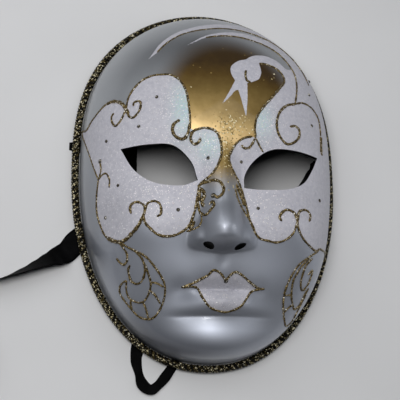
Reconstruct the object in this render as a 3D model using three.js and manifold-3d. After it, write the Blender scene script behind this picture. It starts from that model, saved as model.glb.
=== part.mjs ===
// A full-face venetian mask lying on its rim: a thin moulded shell with open eyes and nostrils,
// a plaited cord glued round its edge, and two flat ribbon ties.
// X runs across the face, Y from the chin to the forehead and Z out to the tip of the nose.
// The origin is on the surface that the rim rests on, under the middle of the braided outline.
// The ties are named after the wearer's sides, and the wearer's right is at -X.

import * as THREE from 'three';
import { mergeVertices } from 'three/addons/utils/BufferGeometryUtils.js';
import Module from 'manifold-3d';

// Driving dimensions of the rim, in millimetres
const RIM_HALF_WIDTH = 81.5;
const RIM_HALF_HEIGHT = 115.5;
const WIDEST_Y = 5;
const BROW_POWERS = { across: 1.95, along: 2.75 };
const JAW_POWERS = { across: 2.15, along: 2.1 };

// The shell
const DOME_HEIGHT = 69;
const DOME_POWER = { side: 2.5, forehead: -0.3, chin: 5 };
const CHIN_DROP = { depth: 27, fromY: -35, length: 65 };
const CHIN_RISE = { height: 10.5, fromY: -78, length: 16, across: 30 };
const WALL = 2.2;
const RELIEF_FADES_FROM = 0.85;
const INNER_RELIEF = 0.92;

// Soft swellings and hollows of the face: place, reach across and along, rise and turn.
// A feature with an x is there on both sides.
const FEATURES = {
  forehead: { y: 34, across: 50, along: 34, rise: 3.5 },
  brow: { x: 32, y: 20, across: 20, along: 11, rise: 1.8, turn: 0.05 },
  innerSocket: { x: 21, y: -3, across: 13, along: 14, rise: -4, turn: 0.15 },
  outerSocket: { x: 42, y: -4, across: 18, along: 11, rise: -1.2, turn: 0.15 },
  cheekBone: { x: 44, y: -34, across: 24, along: 22, rise: 3, turn: -0.5 },
  mouthMound: { y: -74, across: 32, along: 17, rise: 6.5 },
  lipGroove: { y: -62, across: 3.2, along: 4, rise: -0.6 },
  lowerLip: { y: -84.5, across: 13, along: 5.5, rise: 5 },
  mouthCorner: { x: 24, y: -76, across: 5, along: 4, rise: -1.5 },
};

// The creases between the lips and over the chin: a depth that fades away above and below
const MOUTH_LINE = { y: -76.8, depth: 4.6, above: 6, below: 1.3, across: 16, softness: 0.5 };
const CHIN_FOLD = { y: -92, depth: 3.6, above: 2.8, below: 5, across: 28, softness: 0.8 };

// The nose. Each of its forms has a top and falls away from it in millimetres per square one.
const NOSE_MIDDLE_X = -1;
const NOSE_RIDGE = { footY: -44, top: 82, slope: 0.19, rootY: 5, rootFall: 0.012 };
const NOSE_RIDGE_FALL = { across: 0.065, below: 0.14 };
const NOSE_BALL = { x: 0, y: -46, top: 83.8, across: 0.075, above: 0.03, below: 0.06 };
const NOSE_WING = { x: 13, y: -48, top: 73.5, across: 0.15, above: 0.06, below: 0.1 };
const NOSE_UNDERSIDE = { top: 81, fromY: -52.6, slope: 4.2, bend: 0.12, setBack: 3.5 };
const BLEND_REACH = { ball: 5, wing: 4, underside: 8, face: 4 };
const INSIDE_NARROWING = 1.25;

// Eye openings: each lid is a smooth curve from the outer to the inner corner
const EYES = [
  {
    outer: [-59.8, 7.7],
    upper: [[-44, 8.4], [-29, 7.1], [-18.6, -2]],
    inner: [-15.1, -14.3],
    lower: [[-25.6, -18], [-40.5, -15.9], [-52, -6.6]],
  },
  {
    outer: [63.5, 7.4],
    upper: [[45, 8], [30.5, 6.6], [20.3, 0.2], [13.5, -10]],
    inner: [12.5, -18.6],
    lower: [[24.7, -19.3], [39.5, -17.9], [51.4, -12.1], [58.5, -2.5]],
  },
];
const LID_STEPS = 12;
const LID_TENSION = 0.5;
const NOSTRIL = { x: 9.5, y: -54, halfLength: 3.5, halfWidth: 1.15, turn: 0.33 };
const CUT_FROM_Z = 25;
const CUT_DEPTH = 90;

// The plaited cord round the rim
const BRAID_RADIUS = 2.7;
const BRAID_FLATTENING = 0.1;
const BRAID_LOBES = 3;
const BRAID_TWISTS = 22;
const BRAID_BOTTOM = 1.7;
const GAP = 0.3;

// The ribbon ties lie on the surface and pass under low arches in the rim
const RIBBON_WIDTH = 15;
const RIBBON_THICKNESS = 0.8;
const ARCH_HEIGHT = 1.5;
const ARCHES = [
  { x: -81.5, y: 25.5, halfLength: 19 },
  { x: -80, y: -37, halfLength: 26 },
  { x: 81.5, y: 14, halfLength: 19 },
  { x: -18, y: -113, halfLength: 16 },
  { x: -43, y: -101, halfLength: 16 },
];

// Route of each tie: across, along, roll (0 is flat and 90 stands on its edge) and the width
// that is left where the ribbon is folded over lengthwise
const RIGHT_ROUTE = [
  [-88.4, 26, 0, 9], [-81.5, 25.8, 0, 15], [-74.8, 27.3, 0, 15], [-70.5, 32, 30, 15],
  [-67.5, 38.5, 75, 15], [-64.5, 45.5, 90, 15], [-58.8, 49.5, 90, 15], [-53.8, 46, 80, 15],
  [-52, 38.5, 30, 15], [-51.6, 29.5, 0, 15], [-51.6, 19.5, 0, 15], [-51.8, 10, 0, 15],
  [-52.6, 1, 30, 15], [-54.6, -7.5, 75, 15], [-57.8, -15, 88, 15], [-62, -21.2, 60, 15],
  [-66.6, -25.8, 15, 15], [-71.8, -29.6, 0, 15], [-77.4, -33.4, 0, 15], [-83, -37.8, 0, 15],
  [-88.6, -44.4, 4, 14], [-94.4, -47.9, 28, 15], [-100.4, -50.8, 46, 15], [-107, -54, 58, 15],
  [-115, -57.8, 68, 15], [-126, -62.3, 78, 15], [-138, -66.4, 88, 15], [-150, -69.4, 90, 15],
  [-160, -70.8, 90, 15],
];
const LEFT_ROUTE = [
  [84, 14.5, 0, 15], [78.5, 13.8, -2, 15], [74.4, 12.4, -40, 15], [69.8, 9, -70, 15],
  [63, 2.4, -88, 15], [60.6, -5, -90, 15], [58.2, -15, -90, 15], [56.2, -27, -90, 15],
  [52.5, -41, -90, 15], [47, -55, -90, 15], [39.5, -68, -90, 15], [30, -80, -85, 14],
  [18.5, -90, -60, 12], [7, -97, -25, 10], [-3, -101.5, -4, 9], [-12, -107, 0, 8],
  [-18.5, -112.3, 0, 6.5], [-22, -117, 0, 6], [-26.5, -123.2, 8, 6], [-31, -128.2, 12, 6],
  [-35.6, -130.9, 15, 6.5], [-40.6, -127.6, 12, 6.5], [-42.9, -121, 8, 6.5],
  [-44.6, -112.5, 0, 6.5], [-43.5, -104.5, 0, 8.5], [-41, -95, 0, 10], [-38, -86.5, 30, 12],
  [-35.2, -78, 70, 14], [-33.6, -69, 90, 15],
];
const COIL_PITCH = 5.6;
const RIGHT_COIL = { x: -167, y: -104.8, outer: 33.5, turns: 1.24 };
const LEFT_COIL = { x: -2, y: -61, outer: 30.5, turns: 1.1 };
const COIL_SIDES = 32;

// Mesh fineness, and the steps of the sums behind it
const AROUND = 72;
const OUTER_RINGS = 26;
const INNER_RINGS = 13;
const CROWD_TO_MOUTH = 0.38;
const CROWD_TO_NOSE = { place: 0.31, pull: 0.075 };
const BRAID_STEPS = 98;
const BRAID_SIDES = 8;
const RIBBON_STEPS_PER_SPAN = 2;
const HALVINGS = 40;
const WELD_DISTANCE = 1e-4;
const SMALL_TURN = 0.01;

const wasm = await Module();
wasm.setup();

function smooth(value) {
  const t = THREE.MathUtils.clamp(value, 0, 1);
  return t * t * (3 - 2 * t);
}

// Distance from the middle of the rim's widest line to the rim, in one direction
function rimRadius(angle) {
  const above = Math.sin(angle) >= 0;
  const powers = above ? BROW_POWERS : JAW_POWERS;
  const along = above ? RIM_HALF_HEIGHT - WIDEST_Y : RIM_HALF_HEIGHT + WIDEST_Y;
  const across = Math.abs(Math.cos(angle)) / RIM_HALF_WIDTH;
  const upright = Math.abs(Math.sin(angle)) / along;
  let near = 0;
  let far = 2 * RIM_HALF_HEIGHT;
  for (let i = 0; i < HALVINGS; i += 1) {
    const middle = (near + far) / 2;
    const sum = (middle * across) ** powers.across + (middle * upright) ** powers.along;
    if (sum < 1) near = middle;
    else far = middle;
  }
  return near;
}

// The plain dome under the features; it is lower towards the mouth and chin
function domeHeight(share, angle, height) {
  const up = Math.max(Math.sin(angle), 0) ** 2;
  const down = Math.max(-Math.sin(angle), 0) ** 4;
  const power = DOME_POWER.side + DOME_POWER.forehead * up + DOME_POWER.chin * down;
  const x = rimRadius(angle) * share * Math.cos(angle);
  const y = WIDEST_Y + rimRadius(angle) * share * Math.sin(angle);
  const drop = CHIN_DROP.depth * smooth((CHIN_DROP.fromY - y) / CHIN_DROP.length);
  const chin = CHIN_RISE.height * smooth((CHIN_RISE.fromY - y) / CHIN_RISE.length);
  const top = height - drop + chin * Math.exp(-((x / CHIN_RISE.across) ** 2));
  return top * Math.max(1 - share ** power, 0) ** (1 / power);
}

function swelling(x, y, { x: cx = 0, y: cy, across, along, rise, turn = 0 }) {
  const u = (x - cx) * Math.cos(turn) + (y - cy) * Math.sin(turn);
  const v = (y - cy) * Math.cos(turn) - (x - cx) * Math.sin(turn);
  return rise * Math.exp(-((u / across) ** 2) - (v / along) ** 2);
}

// The higher of two heights, rounded where they are within a reach of each other
function blendUp(first, second, reach) {
  const near = Math.max(reach - Math.abs(first - second), 0) / reach;
  return Math.max(first, second) + (near ** 2 * reach) / 4;
}

function mound(x, y, form, narrowing) {
  const along = y > form.y ? form.above : form.below;
  const fall = form.across * (x - form.x) ** 2 + along * (y - form.y) ** 2;
  return form.top - narrowing * fall;
}

function noseHeight(faceX, y, inset) {
  const narrowing = inset > 0 ? INSIDE_NARROWING : 1;
  const setBack = inset > 0 ? NOSE_UNDERSIDE.setBack : 0;
  const x = faceX - NOSE_MIDDLE_X;
  const up = Math.max(y - NOSE_RIDGE.footY, 0);
  const below = Math.max(NOSE_RIDGE.footY - y, 0);
  const aboveRoot = Math.max(y - NOSE_RIDGE.rootY, 0);
  const line = NOSE_RIDGE.top - NOSE_RIDGE.slope * up - NOSE_RIDGE.rootFall * aboveRoot ** 2;
  const fall = NOSE_RIDGE_FALL.below * below ** 2 + NOSE_RIDGE_FALL.across * x ** 2;
  const ridge = line - narrowing * fall;
  const tip = blendUp(ridge, mound(x, y, NOSE_BALL, narrowing), BLEND_REACH.ball);
  const wing = mound(Math.abs(x), y, NOSE_WING, narrowing);
  const whole = blendUp(tip, wing, BLEND_REACH.wing);
  const back = y - setBack - NOSE_UNDERSIDE.fromY - NOSE_UNDERSIDE.bend * Math.abs(x);
  const underside = NOSE_UNDERSIDE.top + NOSE_UNDERSIDE.slope * back;
  return -blendUp(-whole, -underside, BLEND_REACH.underside) - inset;
}

function fold(x, y, { y: foldY, depth, above, below, across, softness }) {
  const away = Math.hypot(y - foldY, softness) - softness;
  const length = y > foldY ? above : below;
  return depth * Math.exp(-away / length) * Math.exp(-((x / across) ** 4));
}

// Height of the face's features, but for the nose, over the plain dome
function relief(x, y) {
  let height = -fold(x, y, MOUTH_LINE) - fold(x, y, CHIN_FOLD);
  for (const feature of Object.values(FEATURES)) {
    height += swelling(x, y, feature);
    if (feature.x) height += swelling(-x, y, feature);
  }
  return height;
}

// Height of the rim's underside: flat, with a low arch over each place where a ribbon passes
function archHeight(x, y) {
  let height = 0;
  for (const arch of ARCHES) {
    const away = Math.hypot(x - arch.x, y - arch.y) / arch.halfLength;
    height = Math.max(height, ARCH_HEIGHT * smooth(2 * (1 - away)));
  }
  return height;
}

// A point of the outer (inset 0) or inner (inset WALL) face of the shell
function shellPoint(angle, share, inset) {
  const reach = rimRadius(angle) - inset;
  const x = reach * share * Math.cos(angle);
  const y = WIDEST_Y + reach * share * Math.sin(angle);
  if (share >= 1) return [x, y, archHeight(x, y)];
  const keep = 1 - smooth((share - RELIEF_FADES_FROM) / (1 - RELIEF_FADES_FROM));
  const depth = inset > 0 ? INNER_RELIEF : 1;
  const face = domeHeight(share, angle, DOME_HEIGHT - inset) + depth * keep * relief(x, y);
  return [x, y, blendUp(face, noseHeight(x, y, inset), BLEND_REACH.face)];
}

// Directions round the face stand closer together towards the nose and mouth
function ringAngle(step) {
  const even = (2 * Math.PI * step) / AROUND;
  return even - CROWD_TO_MOUTH * Math.cos(even);
}

// Rings stand closer together where they pass under the nose
function ringShare(even) {
  const { place, pull } = CROWD_TO_NOSE;
  const wave = Math.sin(2 * Math.PI * (even - place)) + Math.sin(2 * Math.PI * place);
  return Math.sin((Math.PI / 2) * (even - pull * wave));
}

function closedGeometry(points, faces) {
  const geometry = new THREE.BufferGeometry();
  geometry.setAttribute('position', new THREE.Float32BufferAttribute(points.flat(), 3));
  geometry.setIndex(faces.flat());
  return geometry;
}

function toSolid(geometry) {
  const bare = geometry.clone();
  bare.deleteAttribute('normal');
  bare.deleteAttribute('uv');
  const merged = mergeVertices(bare, WELD_DISTANCE);
  const mesh = new wasm.Mesh({
    numProp: 3,
    vertProperties: new Float32Array(merged.attributes.position.array),
    triVerts: new Uint32Array(merged.index.array),
  });
  return new wasm.Manifold(mesh);
}

function fromSolid(solid) {
  const mesh = solid.getMesh();
  const geometry = new THREE.BufferGeometry();
  geometry.setAttribute('position', new THREE.Float32BufferAttribute(mesh.vertProperties, 3));
  geometry.setIndex(Array.from(mesh.triVerts));
  return geometry;
}

// Rings of points round the face, closed by one point in the middle of each face
function shellBlank() {
  const points = [];
  const faces = [];
  const rings = [];
  const addRing = (share, inset) => {
    const first = points.length;
    for (let i = 0; i < AROUND; i += 1) points.push(shellPoint(ringAngle(i), share, inset));
    rings.push(first);
  };
  for (let ring = 1; ring <= OUTER_RINGS; ring += 1) {
    addRing(ringShare(ring / OUTER_RINGS), 0);
  }
  for (let ring = INNER_RINGS; ring >= 1; ring -= 1) {
    addRing(ringShare(ring / INNER_RINGS), WALL);
  }
  for (let ring = 1; ring < rings.length; ring += 1) {
    for (let i = 0; i < AROUND; i += 1) {
      const next = (i + 1) % AROUND;
      const [a, b] = [rings[ring - 1] + i, rings[ring - 1] + next];
      const [c, d] = [rings[ring] + i, rings[ring] + next];
      faces.push([a, c, d], [a, d, b]);
    }
  }
  const top = points.push(shellPoint(0, 0, 0)) - 1;
  const under = points.push(shellPoint(0, 0, WALL)) - 1;
  const last = rings[rings.length - 1];
  for (let i = 0; i < AROUND; i += 1) {
    const next = (i + 1) % AROUND;
    faces.push([top, i, next], [under, last + next, last + i]);
  }
  return closedGeometry(points, faces);
}

function lidPoints(from, through, to) {
  const corners = [from, ...through, to].map(([x, y]) => new THREE.Vector3(x, y, 0));
  const curve = new THREE.CatmullRomCurve3(corners, false, 'catmullrom', LID_TENSION);
  return curve.getPoints(LID_STEPS).map((p) => new THREE.Vector2(p.x, p.y));
}

function cutter(outline) {
  const shape = new THREE.Shape(outline);
  const geometry = new THREE.ExtrudeGeometry(shape, { depth: CUT_DEPTH, bevelEnabled: false });
  geometry.translate(0, 0, CUT_FROM_Z);
  return toSolid(geometry);
}

function eyeCutter({ outer, upper, inner, lower }) {
  const top = lidPoints(outer, upper, inner);
  const bottom = lidPoints(inner, lower, outer);
  return cutter([...top.slice(0, -1), ...bottom.slice(0, -1)]);
}

function nostrilCutter(side) {
  const curve = new THREE.EllipseCurve(
    side * NOSTRIL.x,
    NOSTRIL.y,
    NOSTRIL.halfLength,
    NOSTRIL.halfWidth,
    0,
    2 * Math.PI,
    false,
    side * NOSTRIL.turn,
  );
  return cutter(curve.getPoints(LID_STEPS).slice(0, -1));
}

function maskShell() {
  let solid = toSolid(shellBlank());
  for (const eye of EYES) solid = solid.subtract(eyeCutter(eye));
  for (const side of [-1, 1]) solid = solid.subtract(nostrilCutter(side));
  return fromSolid(solid);
}

// A lobed, twisting section carried round the outside of the rim
function edgeBraid() {
  const points = [];
  const faces = [];
  const offset = BRAID_RADIUS + GAP;
  const middle = BRAID_BOTTOM + BRAID_RADIUS;
  for (let step = 0; step < BRAID_STEPS; step += 1) {
    const angle = (2 * Math.PI * step) / BRAID_STEPS;
    const [x, y] = shellPoint(angle, 1, 0);
    const [ax, ay] = shellPoint(angle - SMALL_TURN, 1, 0);
    const [bx, by] = shellPoint(angle + SMALL_TURN, 1, 0);
    const out = new THREE.Vector2(by - ay, ax - bx).normalize();
    for (let side = 0; side < BRAID_SIDES; side += 1) {
      const around = (2 * Math.PI * side) / BRAID_SIDES;
      const twist = BRAID_LOBES * around - BRAID_TWISTS * angle;
      const radius = BRAID_RADIUS * (1 - BRAID_FLATTENING * (1 - Math.cos(twist)) / 2);
      const away = offset + radius * Math.cos(around);
      points.push([x + out.x * away, y + out.y * away, middle + radius * Math.sin(around)]);
    }
  }
  for (let step = 0; step < BRAID_STEPS; step += 1) {
    const here = step * BRAID_SIDES;
    const there = ((step + 1) % BRAID_STEPS) * BRAID_SIDES;
    for (let side = 0; side < BRAID_SIDES; side += 1) {
      const next = (side + 1) % BRAID_SIDES;
      const [a, b, c, d] = [here + side, here + next, there + side, there + next];
      faces.push([a, c, d], [a, d, b]);
    }
  }
  return closedGeometry(points, faces);
}

// The flat eight-sided section of a ribbon: across its width and through its thickness
function ribbonSection(width) {
  const edge = width / 2;
  const face = RIBBON_THICKNESS / 2;
  return [
    [edge, -face / 2], [edge, face / 2], [edge - face, face], [face - edge, face],
    [-edge, face / 2], [-edge, -face / 2], [face - edge, -face], [edge - face, -face],
  ];
}

// The ribbon's place, direction, roll and width at one share of its route
function ribbonStation(route, share) {
  const span = Math.min(Math.floor(share * (route.length - 1)), route.length - 2);
  const t = share * (route.length - 1) - span;
  const knot = (offset) => route[THREE.MathUtils.clamp(span + offset, 0, route.length - 1)];
  const [before, from, to, after] = [-1, 0, 1, 2].map(knot);
  const blend = (i) => {
    const pull = [to[i] - before[i], after[i] - from[i]].map((value) => value / 2);
    const rest = to[i] - from[i];
    const cubic = pull[0] + pull[1] - 2 * rest;
    const square = 3 * rest - 2 * pull[0] - pull[1];
    const slope = pull[0] + 2 * square * t + 3 * cubic * t * t;
    return [from[i] + pull[0] * t + square * t * t + cubic * t ** 3, slope];
  };
  const [[x, alongX], [y, alongY]] = [blend(0), blend(1)];
  const side = new THREE.Vector2(-alongY, alongX).normalize();
  const roll = THREE.MathUtils.degToRad(THREE.MathUtils.lerp(from[2], to[2], smooth(t)));
  return { x, y, side, roll, width: THREE.MathUtils.lerp(from[3], to[3], smooth(t)) };
}

function ribbonTie(route) {
  const steps = RIBBON_STEPS_PER_SPAN * (route.length - 1);
  const points = [];
  const faces = [];
  for (let step = 0; step <= steps; step += 1) {
    const { x, y, side, roll, width } = ribbonStation(route, step / steps);
    const [lean, rise] = [Math.cos(roll), Math.sin(roll)];
    const middle = (width * Math.abs(rise) + RIBBON_THICKNESS * lean) / 2;
    for (const [across, through] of ribbonSection(width)) {
      const out = across * lean - through * rise;
      const height = middle + across * rise + through * lean;
      points.push([x + side.x * out, y + side.y * out, height]);
    }
  }
  const count = ribbonSection(RIBBON_WIDTH).length;
  // Both flat sides are split along the same diagonal, so they stay apart where the ribbon twists
  for (let step = 0; step < steps; step += 1) {
    for (let i = 0; i < count; i += 1) {
      const next = (i + 1) % count;
      const [a, b] = [step * count + i, step * count + next];
      const [c, d] = [a + count, b + count];
      if (i > count / 2) faces.push([a, b, c], [b, d, c]);
      else faces.push([a, b, d], [a, d, c]);
    }
  }
  for (let i = 1; i < count - 1; i += 1) {
    const end = steps * count;
    faces.push([0, i + 1, i], [end, end + i, end + i + 1]);
  }
  return closedGeometry(points, faces);
}

// The spare length of a tie, rolled up loosely and standing on its edge
function ribbonCoil({ outer, turns }) {
  const inner = outer - COIL_PITCH * turns - RIBBON_THICKNESS;
  const profile = [
    new THREE.Vector2(inner, 0),
    new THREE.Vector2(outer, 0),
    new THREE.Vector2(outer, RIBBON_WIDTH),
    new THREE.Vector2(inner, RIBBON_WIDTH),
    new THREE.Vector2(inner, 0),
  ];
  return new THREE.LatheGeometry(profile, COIL_SIDES).rotateX(Math.PI / 2);
}

const SILVER = { color: 0x8d9499, roughness: 0.35, metalness: 0.6 };
const GOLD_CORD = { color: 0x6d5a2c, roughness: 0.45, metalness: 0.7 };
const BLACK_SATIN = { color: 0x0c0c0d, roughness: 0.5, metalness: 0 };

function addPiece(group, name, geometry, look) {
  const piece = new THREE.Mesh(geometry, new THREE.MeshStandardMaterial(look));
  piece.name = name;
  group.add(piece);
  return piece;
}

const mask = new THREE.Group();
addPiece(mask, 'mask_shell', maskShell(), SILVER);
addPiece(mask, 'edge_braid', edgeBraid(), GOLD_CORD);
addPiece(mask, 'right_tie', ribbonTie(RIGHT_ROUTE), BLACK_SATIN);
addPiece(mask, 'left_tie', ribbonTie(LEFT_ROUTE), BLACK_SATIN);
for (const [name, coil] of [['right_tie_coil', RIGHT_COIL], ['left_tie_coil', LEFT_COIL]]) {
  addPiece(mask, name, ribbonCoil(coil), BLACK_SATIN).position.set(coil.x, coil.y, 0);
}

export default mask;
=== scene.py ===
# A painted venetian mask lying face up: a thin moulded shell with raised glitter scrollwork,
# a plaited edge cord and two satin ribbon ties. Sizes are in millimetres, and angles in radians
# where they aren't said to be in degrees.

import math

import bpy
import numpy as np
from mathutils import Matrix, Vector, noise
from mathutils.kdtree import KDTree


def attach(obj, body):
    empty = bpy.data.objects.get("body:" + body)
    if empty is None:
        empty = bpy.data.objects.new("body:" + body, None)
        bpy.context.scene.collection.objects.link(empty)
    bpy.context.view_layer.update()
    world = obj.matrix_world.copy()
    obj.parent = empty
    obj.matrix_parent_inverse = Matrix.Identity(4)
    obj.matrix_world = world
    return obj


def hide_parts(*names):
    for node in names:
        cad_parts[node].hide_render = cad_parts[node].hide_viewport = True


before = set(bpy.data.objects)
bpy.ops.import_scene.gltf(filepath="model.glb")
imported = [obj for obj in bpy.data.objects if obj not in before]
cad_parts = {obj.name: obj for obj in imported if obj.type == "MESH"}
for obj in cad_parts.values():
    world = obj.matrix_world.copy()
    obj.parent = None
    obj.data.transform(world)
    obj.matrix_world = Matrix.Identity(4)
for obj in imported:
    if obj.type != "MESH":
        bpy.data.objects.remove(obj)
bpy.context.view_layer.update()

MM = 0.001

# The rim and the dome of the shell
RIM_HALF_WIDTH = 81.5
RIM_HALF_HEIGHT = 115.5
WIDEST_Y = 5
BROW_POWERS = (1.95, 2.75)
JAW_POWERS = (2.15, 2.1)
DOME_HEIGHT = 69
DOME_POWER = 2.5
DOME_POWER_FOREHEAD = -0.3
DOME_POWER_CHIN = 5
CHIN_DROP = 27
CHIN_DROP_FROM_Y = -35
CHIN_DROP_LENGTH = 65
WALL = 2.2
RELIEF_FADES_FROM = 0.85
INNER_RELIEF = 0.92
CLOSEST_TO_RIM = 0.03

# Low arches in the rim's underside, over the ribbons: place and half length
ARCH_HEIGHT = 1.5
ARCHES = ((-81.5, 25.5, 19), (-80, -37, 26), (81.5, 14, 19), (-18, -113, 16), (-43, -101, 16))

# Swellings and hollows of the face: place, reach across and along, rise and turn.
# One that is off the middle is there on both sides.
FEATURES = {
    "forehead": (0, 34, 50, 34, 3.5, 0),
    "brow": (32, 20, 20, 11, 1.8, 0.05),
    "inner_socket": (21, -3, 13, 14, -4, 0.15),
    "outer_socket": (42, -4, 18, 11, -1.2, 0.15),
    "cheek_bone": (44, -34, 24, 22, 3, -0.5),
    "mouth_mound": (0, -74, 32, 17, 6.5, 0),
    "lip_groove": (0, -62, 3.2, 4, -0.6, 0),
    "lower_lip": (0, -84.5, 13, 5.5, 5.0, 0),
    "mouth_corner": (24, -76, 5, 4, -1.5, 0),
}

# Folds across the face: place, depth, reach above, below and across, and softness of the fold
MOUTH_LINE = (-76.8, 4.6, 6, 1.3, 16, 0.5)
CHIN_FOLD = (-92.0, 3.6, 2.8, 5.0, 28, 0.8)
CHIN_RISE = 10.5
CHIN_ACROSS = 30
CHIN_TOP_Y = -78
CHIN_EDGE = 16

# The nose: rounded mounds blended into the face. A mound has a place, the height of its top
# and how fast it falls away across, above and below (mm per square mm).
NOSE_BALL = (0, -46, 83.8, 0.075, 0.03, 0.06)
NOSE_WING = (13, -48, 73.5, 0.15, 0.06, 0.1)
NOSE_MIDDLE_X = -1
UNDERSIDE = (81, -52.6, 4.2, 0.12)
UNDERSIDE_SET_BACK = 3.5
UNDERSIDE_BLEND = 8
RIDGE_FOOT_Y = -44
RIDGE_TOP = 82
RIDGE_SLOPE = 0.19
RIDGE_ROOT_Y = 5
RIDGE_ROOT_FALL = 0.012
RIDGE_ACROSS = 0.065
RIDGE_BELOW = 0.14
BALL_BLEND = 5
WING_BLEND = 4
FACE_BLEND = 4
INSIDE_NARROWING = 1.25

# A thickening of the inner face behind each nostril, of the same kind as the swellings: a dark block in the
# black inside paint, put there as painted shade in the nostrils
NOSTRIL_SHADE_BLOCK = (9.5, -52.5, 6.5, 6, 8.5, 0)

# Openings, cut straight through along Z: the two halves of each eye, counter-clockwise
RIGHT_EYE = (
    [(-59.8, 7.7), (-52, -6.6), (-40.5, -15.9), (-25.6, -18), (-15.1, -14.3)],
    [(-15.1, -14.3), (-18.6, -2), (-29, 7.1), (-44, 8.4), (-59.8, 7.7)],
)
LEFT_EYE = (
    [(63.5, 7.4), (45, 8), (30.5, 6.6), (20.3, 0.2), (13.5, -10), (12.5, -18.6)],
    [(12.5, -18.6), (24.7, -19.3), (39.5, -17.9), (51.4, -12.1), (58.5, -2.5), (63.5, 7.4)],
)
NOSTRIL_X = 9.5
NOSTRIL_Y = -54
NOSTRIL_HALF_LENGTH = 3.5
NOSTRIL_HALF_WIDTH = 1.15
NOSTRIL_TURN = 0.33
CUT_FROM_Z = 25
CUT_TO_Z = 115

# The plaited cord
BRAID_OFFSET = 3.0
BRAID_MIDDLE_Z = 4.4
BRAID_STRANDS = 8
BRAID_CORE_RADIUS = 1.65
BRAID_STRAND_RADIUS = 0.8
BRAID_WEAVE = 0.32
BRAID_TURNS = 84
STRAND_WIDENING = 1.25
STRAND_FLATTENING = 0.75
BLACK_STRANDS = (0, 1, 4, 5)

# The ribbons: across, along, roll in degrees and the width that is left where it curls
RIBBON_WIDTH = 15
RIBBON_THICKNESS = 0.35
RIGHT_ROUTE = [
    (-88.4, 26, 0, 5), (-81.5, 25.8, 0, 8.5), (-74.8, 27.3, 0, 15), (-70.5, 32, 30, 15),
    (-67.5, 38.5, 75, 15), (-64.5, 45.5, 90, 15), (-58.8, 49.5, 90, 15), (-53.8, 46, 80, 15),
    (-52, 38.5, 30, 15), (-51.6, 29.5, 0, 15), (-51.6, 19.5, 0, 15), (-51.8, 10, 0, 15),
    (-52.6, 1, 30, 15), (-54.6, -7.5, 75, 15), (-57.8, -15, 88, 15), (-62, -21.2, 60, 15),
    (-66.6, -25.8, 15, 15), (-71.8, -29.6, 0, 15), (-77.4, -33.4, 0, 15), (-83, -37.8, 0, 15),
    (-88.6, -44.4, 4, 14), (-94.4, -47.9, 28, 15), (-100.4, -50.8, 46, 15),
    (-107, -54, 58, 15), (-115, -57.8, 68, 15), (-126, -62.3, 78, 15), (-138, -66.4, 88, 15),
    (-150, -69.4, 90, 15), (-160, -70.8, 90, 15),
]
LEFT_ROUTE = [
    (84, 14.5, 0, 15), (78.5, 13.8, -2, 15), (74.4, 12.4, -40, 15), (69.8, 9, -70, 15),
    (63, 2.4, -88, 15), (60.6, -5, -90, 15), (58.2, -15, -90, 15), (56.2, -27, -90, 15),
    (52.5, -41, -90, 15), (47, -55, -90, 15), (39.5, -68, -90, 15), (30, -80, -85, 14),
    (18.5, -90, -60, 12), (7, -97, -25, 10), (-3, -101.5, -4, 9), (-12, -107, 0, 8),
    (-18.5, -112.3, 0, 6.5), (-22, -117, 0, 6), (-26.5, -123.2, 8, 6.6), (-31, -128.2, 12, 5.8),
    (-35.6, -130.9, 15, 6.8), (-40.6, -127.6, 12, 7.6), (-42.9, -121, 8, 5.3),
    (-44.6, -112.5, 0, 7), (-43.5, -104.5, 0, 8.5), (-41, -95, 0, 10), (-38, -86.5, 30, 12),
    (-35.2, -78, 70, 14), (-33.6, -69, 90, 15),
]
COIL_PITCH = 5.6
RIBS_A_MM = 2.2
RIGHT_COIL = {"middle": (-167, -104.8), "turns": 1.24, "hand": 1}
LEFT_COIL = {"middle": (-2, -61), "turns": 1.1, "hand": -1}

# The raised glitter: how far it sinks into the paint, how high it stands and how lumpy it is
LINE_SINK = 0.35
LINE_RISE = 0.48
LINE_TAPER = 2.5
LINE_BLUNT_END = 0.6
LUMP_AMOUNT = 0.32
LUMPS_A_MM = 0.55
LUMP_SEED_STEP = 7
DOT_HEIGHT = 0.8

# Which faces of the shell are painted: those that face up or lie near the rim and face outwards
PAINT_FACING_UP = 0.12
PAINT_FACING_OUT = 0.3
PAINT_NEAR_RIM = 0.88

# Edges sharper than this are shaded as edges
SHARP_EDGE_DEGREES = 50

# Fineness of the meshes
CURVE_STEP = 0.5
EYE_STEP = 1.2
NOSTRIL_SIDES = 28
SHELL_SIDES = 440
OUTER_RINGS = 165
INNER_RINGS = 26
CROWD_TO_MOUTH = 0.25
LINE_SIDES = 7
DOT_RINGS = 4
DOT_SIDES = 12
BRAID_STATIONS_A_TURN = 14
STRAND_SIDES = 6
RIBBON_FACE_POINTS = 9
ROUTE_SPAN_STEPS = 10
COIL_POINTS_A_TURN = 24
HALVINGS = 40
POINTS_AT_ONCE = 4000

# The camera, from the photograph's viewing angle
CAMERA_YAW = 0.16637
CAMERA_PITCH = 0.26502
CAMERA_ROLL = -0.01556
CAMERA_DISTANCE = 700
CAMERA_SIDEWAYS = -3.02
CAMERA_UPWARDS = -7.36
FOCAL_LENGTH_IN_PIXELS = 1062.7
PICTURE_PIXELS = 400
SENSOR_WIDTH = 36
PICTURE_SHIFT = 0.0025
NEAREST_SEEN = 50


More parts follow.
